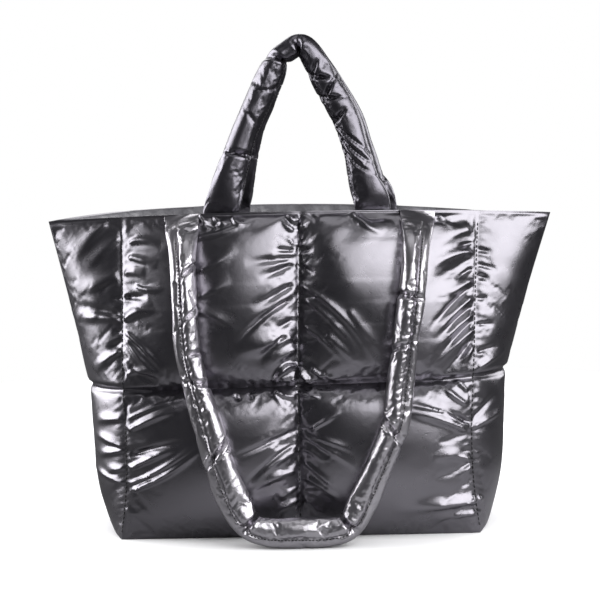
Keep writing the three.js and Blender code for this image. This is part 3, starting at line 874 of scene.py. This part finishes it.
def rope(table, seam_turn, creases, draw):
    """A stuffed tube carried along a smooth line through the table's rows. Its section is an ellipse,
    drawn in to a sharp groove along the seam, whose place is an angle from the face, and to a round one
    along each crease. Gives its points, its length, its radius and the depth of its creases."""
    rows = np.array(table, float)
    number = np.arange(len(rows))
    fine = np.linspace(0, len(rows) - 1, ROPE_SAMPLES * len(rows))
    run = run_along(through(number, rows[:, :3], fine))
    even = np.linspace(0, run[-1], int(run[-1] / ROPE_STEP) + 1)
    at = through(number, rows, np.interp(even, run, fine))
    middle, width, thick = at[:, :3], at[:, 3], at[:, 4]
    tilt, yaw = np.radians(at[:, 5]), np.radians(at[:, 6])
    face = np.stack([np.cos(tilt) * np.sin(yaw), -np.cos(tilt) * np.cos(yaw), np.sin(tilt)], -1)
    ahead = np.gradient(middle, even, axis=0)
    side = np.cross(ahead, face)
    side /= np.linalg.norm(side, axis=1, keepdims=True)
    out = np.cross(side, ahead)
    out /= np.linalg.norm(out, axis=1, keepdims=True)
    turn = np.linspace(-np.pi, np.pi, ROPE_SIDES, endpoint=False)
    angle, along = np.meshgrid(turn, even)
    seen = angle + np.radians(seam_turn)
    radius = np.minimum(width, thick)[:, None] / 2
    inner = np.clip(np.minimum(along, run[-1] - along) / SEAM_RUN_OUT, 0, 1)
    seam = draw * radius * np.exp(-np.abs(angle) / SEAM_HALF_ANGLE) * inner
    marks = np.zeros(angle.shape)
    for x, z, half, depth, slant, first, last in creases:
        place = even[np.argmin(np.hypot(middle[:, 0] - x, middle[:, 2] - z))]
        begins = 1 + np.exp(-(seen - first) * CREASE_RUN_OUT)
        ends = 1 + np.exp((seen - last) * CREASE_RUN_OUT)
        marks = np.maximum(marks, groove(along - place - slant * radius * seen, depth / begins / ends, half))
    size = ROPE_SHRINK - (seam + marks) / np.maximum(radius, 1)
    points = middle[:, None] + side[:, None] * (np.sin(seen) * size * width[:, None] / 2)[..., None]
    points = points + out[:, None] * (np.cos(seen) * size * thick[:, None] / 2)[..., None]
    return points, run[-1], radius[:, 0], marks


def placed(points, turn, aside):
    """Points turned or mirrored to their place and moved aside, by less the higher they are and not at
    all at the apex."""
    points = points * turn
    points[:, 0] += aside * np.clip((APEX - points[:, 2]) / (APEX - RIM_AT_MIDDLE), 0, 1)
    return points


def new_rope(name, table, creases, material, rng, seam_turn, draw, pucker, ease, behind, aside):
    """Makes a tube, sewn down at its ends, along its seam and in its creases, blows it up, gathers it
    beside the seam, closes its ends, and adds it twice: at the front, and turned or mirrored to the back
    and moved aside."""
    points, length, radius, marks = rope(table, seam_turn, creases, draw)
    rings, sides = marks.shape
    held = marks > PINNED_CREASE
    held[:SEWN_RINGS] = held[-SEWN_RINGS:] = True
    held[:, sides // 2] = True
    points = blown_up(
        points.reshape(-1, 3),
        grid_faces(rings, sides, ring=True),
        held.ravel(),
        np.zeros(held.size),
        ease,
        ROPE_PRESSURE,
        ROPE_FRAMES,
        ROPE_CAP,
    ).reshape(points.shape)
    points = finer(points, ring=True)
    rings, sides = points.shape[:2]
    angle, along = np.meshgrid(
        np.linspace(-np.pi, np.pi, sides, endpoint=False), np.linspace(0, length, rings)
    )
    off = angle * np.interp(along, np.linspace(0, length, len(radius)), radius)
    span = (LADDER_END, length - LADDER_END)
    ladder = ridges(along, -off, rng, span, *INNER_LADDER, pucker, LADDER_LEAN) * (angle < 0)
    ladder += ridges(along, off, rng, span, *OUTER_LADDER, OUTER_SHARE * pucker, LADDER_LEAN) * (angle > 0)
    points = points + ladder[..., None] * facing(points, ring=True)
    points[..., 2] = np.maximum(points[..., 2], FLOOR_CLEARANCE)
    faces = grid_faces(rings, sides, ring=True).tolist()
    faces += [list(range(sides))[::-1], list(range((rings - 1) * sides, rings * sides))]
    column = sides // 2 + BESIDE_SEAM
    seam = (points[STITCHED_RINGS, column], facing(points, ring=True)[STITCHED_RINGS, column])
    seam_points, seam_faces = stitches([seam], *ROPE_STITCH)
    for which, turn, shift in (("front", np.ones(3), 0), ("back", behind, aside)):
        flip = int(np.prod(turn))
        new_piece(
            f"{which}_{name}_tube",
            placed(points.reshape(-1, 3), turn, shift),
            [face[::flip] for face in faces],
            material,
            replaced=f"{which}_{name}",
        )
        new_piece(
            f"{which}_{name}_stitches",
            placed(seam_points, turn, shift),
            [face[::flip] for face in seam_faces],
            thread,
        )


# Painted shade: the handle's tones are darker than the panel's nylon, which dims the light on the handles
# below what the same nylon would show.
handle_nylon_painted_darker = pewter_nylon("stuffed handle pewter nylon painted darker", 0.16, ("#75737a", "#817e86"), (0.26, 0.36))
new_rope(
    "handle",
    HANDLE,
    HANDLE_CREASES,
    handle_nylon_painted_darker,
    np.random.default_rng(6),
    seam_turn=62,
    draw=0.1,
    pucker=0.1,
    ease=0.01,
    behind=MIRROR,
    aside=9,
)

# The straps: longer tubes of the same nylon, sewn flat along the rim's top edge, hanging down the panel
# to the floor and up again. Their nylon's colour is painted lighter than the panel's: painted light that
# makes the straps brighter. Their seam shows along the face, gathered on its inner side, and they kink
# where they bend.
STRAP = [
    (-110, -39.0, 302.4, 38, 1.4, 50, -12),
    (-110, -43.0, 299, 38, 2.4, 10, -12),
    (-109, -60, 287, 35, 11, 20, -8),
    (-108, -75, 270, 29, 22, 20, -4),
    (-106, -88, 245, 26, 26, 10, 0),
    (-104, -96, 215, 26, 26, 0, 0),
    (-101, -99, 182, 26, 26, 0, 0),
    (-91.5, -102, 145, 27, 26, 0, 0),
    (-81, -107, 110, 30, 26, 0, 0),
    (-71.5, -110, 75, 31, 26, 0, 0),
    (-59, -112, 42, 32, 26, 0, 0),
    (-47, -113, 22, 27, 28, 0, 0),
    (-29, -114, 15.4, 28, 27, 0, 0),
    (0, -115, 14.9, 30, 27, 0, 0),
    (28, -114, 14.9, 28, 27, 0, 0),
    (45, -113, 20, 26, 28, 0, 0),
    (58, -112, 42, 28, 26, 0, 0),
    (73.5, -110, 75, 27, 26, 0, 0),
    (88, -107, 110, 28, 27, 0, 0),
    (93.5, -102, 145, 29, 26, 0, 0),
    (98, -99, 182, 28, 26, 0, 0),
    (102, -96, 215, 28, 26, 0, 0),
    (105, -88, 245, 28, 26, 10, 0),
    (107, -75, 270, 30, 22, 20, 4),
    (109, -60, 287, 35, 11, 20, 8),
    (110, -43.4, 299, 38, 2.4, 10, 12),
    (110, -39.5, 302.4, 38, 1.4, 50, 12),
]
# Creases across the front strap, as the handle's.
STRAP_CREASES = [
    (-105, 249, 2.4, 5.0, 0.6, -1.6, 0.2),
    (-105, 212, 2.4, 4.0, 0.6, -1.6, 0.2),
    (-103, 180, 2.2, 4.0, 0.0, -1.6, 0.0),
    (-98, 155, 2.4, 5.0, -0.3, -1.8, 0.6),
    (-78, 90, 2.4, 6.0, 0.6, -2.0, 1.2),
    (-47, 24, 2.8, 7.0, 0.0, -2.4, 1.0),
    (44, 21, 2.8, 7.0, 0.0, -2.4, 1.0),
    (85, 105, 2.6, 6.0, -0.5, -2.0, 1.2),
    (95, 182, 2.4, 5.0, 0.3, -1.7, 0.2),
    (100, 226, 2.4, 5.0, -0.1, -1.8, 0.9),
]
# Painted light: the strap's tones are much lighter than the panel's nylon, so the straps show brighter than
# the same nylon would.
strap_nylon_painted_lighter = pewter_nylon("stuffed strap pewter nylon painted lighter", 0.36, ("#c0bdc3", "#ccc9cf"), (0.26, 0.36))
new_rope(
    "strap",
    STRAP,
    STRAP_CREASES,
    strap_nylon_painted_lighter,
    np.random.default_rng(5),
    seam_turn=22,
    draw=0.34,
    pucker=0.55,
    ease=0.012,
    behind=HALF_TURN,
    aside=0,
)

# The floor: a round sheet of white matt paper. Seen in the nylon, its colour is painted grey round a spot
# before the bag's right half and dark further off: a painted pool of light, as if only that spot were
# lit. Distances from the spot are in metres.
FLOOR_RADIUS = 1.0
FLOOR_SIDES = 128
LIT_SPOT = (0.13, -0.12, 0.0)
LIT_UP_TO = 0.12
DARK_FROM = 0.42
turns = np.linspace(0, 2 * np.pi, FLOOR_SIDES, endpoint=False)
rim_points = np.stack([np.cos(turns), np.sin(turns), 0 * turns], -1) * FLOOR_RADIUS
floor_mesh = bpy.data.meshes.new("floor")
floor_mesh.from_pydata(rim_points.tolist(), [], [list(range(FLOOR_SIDES))])
floor = bpy.data.objects.new("floor", floor_mesh)
scene.collection.objects.link(floor)
paper = bpy.data.materials.new("white matt paper")
paper.use_nodes = True
paper_tree = paper.node_tree
paper_shader = paper_tree.nodes["Principled BSDF"]
paper_shader.inputs["Roughness"].default_value = 0.9
paper_place = add_node(paper_tree, "ShaderNodeTexCoord").outputs["Object"]
paper_reach = add_node(
    paper_tree, "ShaderNodeVectorMath", {"operation": "DISTANCE", 1: LIT_SPOT}, {0: paper_place}
)
painted_spot_falloff = add_node(
    paper_tree,
    "ShaderNodeMapRange",
    {"From Min": LIT_UP_TO, "From Max": DARK_FROM},
    {"Value": paper_reach.outputs["Value"]},
)
# Painted reflection of light: in glossy rays the floor is grey at the lit spot and fades to dark further off.
mirrored = add_node(paper_tree, "ShaderNodeMix", {"data_type": "RGBA"})
mirrored.inputs["A"].default_value = linear("#969698")
mirrored.inputs["B"].default_value = linear("#323233")
paper_tree.links.new(painted_spot_falloff.outputs["Result"], mirrored.inputs["Factor"])
paper_rays = add_node(paper_tree, "ShaderNodeLightPath")
paper_tone = add_node(paper_tree, "ShaderNodeMix", {"data_type": "RGBA"})
paper_tone.inputs["A"].default_value = linear("#f2f2f3")
paper_tree.links.new(paper_rays.outputs["Is Glossy Ray"], paper_tone.inputs["Factor"])
paper_tree.links.new(mirrored.outputs["Result"], paper_tone.inputs["B"])
paper_tree.links.new(paper_tone.outputs["Result"], paper_shader.inputs["Base Color"])
floor_mesh.materials.append(paper)

# The light of a plain studio: a large soft box on each side, a small one before the bag, a weak one
# overhead, three behind it for the back panel, and pale walls that light the floor but stay dark in the
# nylon. Each box: its name, azimuth from straight before the bag towards the right, height angle, size in
# metres and radiance.
SOFT_BOXES = [
    ("left box", -101, 18, (1.7, 1.4), 4.3),
    ("right box", 54, 26, (1.6, 1.5), 3.4),
    ("front box", 13, 33, (0.7, 1.0), 2.2),
    ("top box", 0, 80, (1.2, 0.8), 0.8),
    ("back right box", 128, 16, (0.9, 0.9), 2.8),
    ("back left box", -136, 16, (0.9, 0.9), 2.2),
    ("back box", -167, 33, (0.7, 1.0), 1.8),
]
BOX_DISTANCE = 1.8
AIM = Vector((0, 0, 0.2))
for name, azimuth, high, size, radiance in SOFT_BOXES:
    lamp = bpy.data.lights.new(name, "AREA")
    lamp.shape = "RECTANGLE"
    lamp.size, lamp.size_y = size
    lamp.energy = radiance * np.pi * size[0] * size[1]
    round_turn, high_turn = np.radians(azimuth), np.radians(high)
    towards = Vector((np.sin(round_turn), -np.cos(round_turn), np.tan(high_turn))).normalized()
    lamp_object = bpy.data.objects.new(name, lamp)
    lamp_object.location = AIM + towards * BOX_DISTANCE
    lamp_object.rotation_euler = (-towards).to_track_quat("-Z", "Y").to_euler()
    scene.collection.objects.link(lamp_object)

world = bpy.data.worlds.new("studio")
world.use_nodes = True
scene.world = world
sky = world.node_tree
pale = sky.nodes["Background"]
pale.inputs["Color"].default_value = linear("#ffffff")
dim = add_node(sky, "ShaderNodeBackground", {"Color": linear("#3d3d40"), "Strength": 1.0})
rays = add_node(sky, "ShaderNodeLightPath")
walls = add_node(
    sky,
    "ShaderNodeMixShader",
    (),
    {0: rays.outputs["Is Glossy Ray"], 1: pale.outputs["Background"], 2: dim.outputs["Background"]},
)
sky.links.new(walls.outputs["Shader"], sky.nodes["World Output"].inputs["Surface"])
scene.view_settings.view_transform = "Standard"
